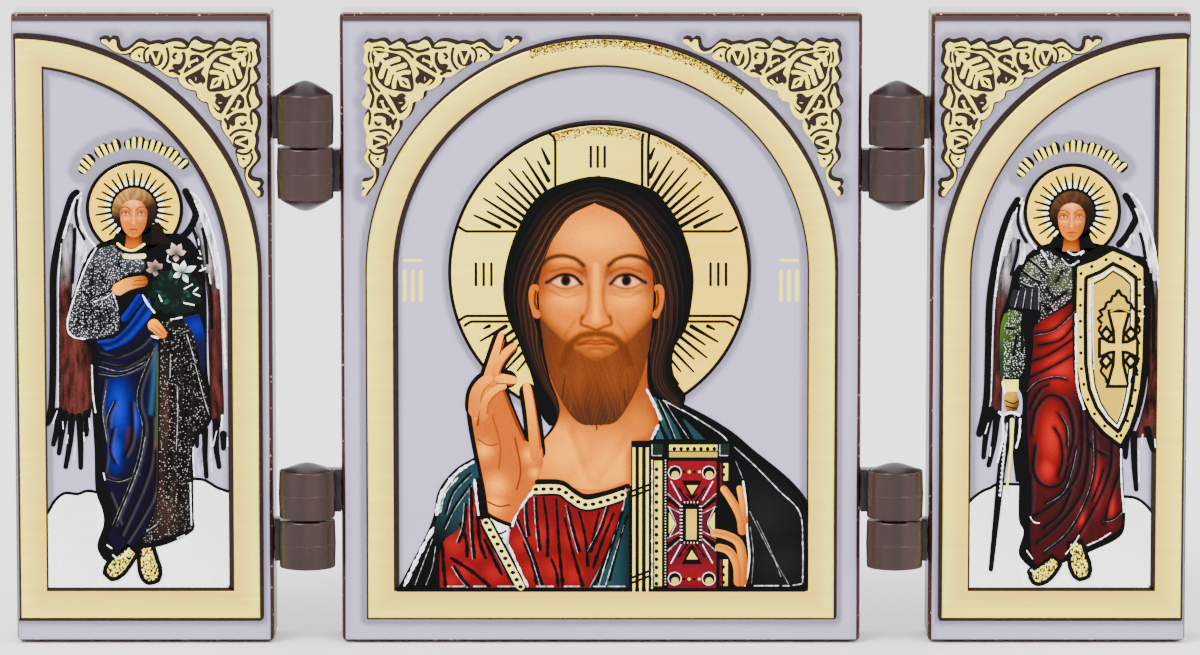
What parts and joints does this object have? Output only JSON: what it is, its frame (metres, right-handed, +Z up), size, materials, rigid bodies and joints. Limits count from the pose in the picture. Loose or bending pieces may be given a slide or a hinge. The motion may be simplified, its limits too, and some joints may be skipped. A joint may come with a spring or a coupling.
{
  "type": "triptych icon",
  "caption": "Folding desk triptych: a printed and embossed centre panel with two narrow wings on plastic barrel hinges that fold over its front.",
  "frame": {"origin": "middle of the whole object's box at its underside, which is on the centre board's underside", "axes": "+Z up, the pictures face -Y, +X to the viewer's right"},
  "size_m": [0.1444, 0.0134, 0.078],
  "materials": {
    "painted_board": "dark brown gloss paint",
    "embossed_print": "embossed metallised foil with printed colours and satin gold",
    "hinge_plastic": "semi-gloss moulded"
  },
  "bodies": {
    "centre": {"centre_board": "painted_board", "centre_icon_sheet": "embossed_print", "left_top_knuckle_lower": "hinge_plastic", "left_top_pin": "hinge_plastic", "left_bottom_knuckle_upper": "hinge_plastic", "left_bottom_pin": "hinge_plastic", "right_top_knuckle_lower": "hinge_plastic", "right_top_pin": "hinge_plastic", "right_bottom_knuckle_upper": "hinge_plastic", "right_bottom_pin": "hinge_plastic"},
    "left_wing": {"left_wing_board": "painted_board", "left_icon_sheet": "embossed_print", "left_top_knuckle_upper": "hinge_plastic", "left_bottom_knuckle_lower": "hinge_plastic"},
    "right_wing": {"right_wing_board": "painted_board", "right_icon_sheet": "embossed_print", "right_top_knuckle_upper": "hinge_plastic", "right_bottom_knuckle_lower": "hinge_plastic"}
  },
  "joints": [
    {"name": "left_wing_hinge", "type": "hinge", "parent": "centre", "child": "left_wing", "pos_m": [-0.0362, -0.00315, 0.039], "axis": [0, 0, 1], "range_deg": [-40, 180]},
    {"name": "right_wing_hinge", "type": "hinge", "parent": "centre", "child": "right_wing", "pos_m": [0.0362, -0.00315, 0.039], "axis": [0, 0, -1], "range_deg": [-40, 180]}
  ]
}
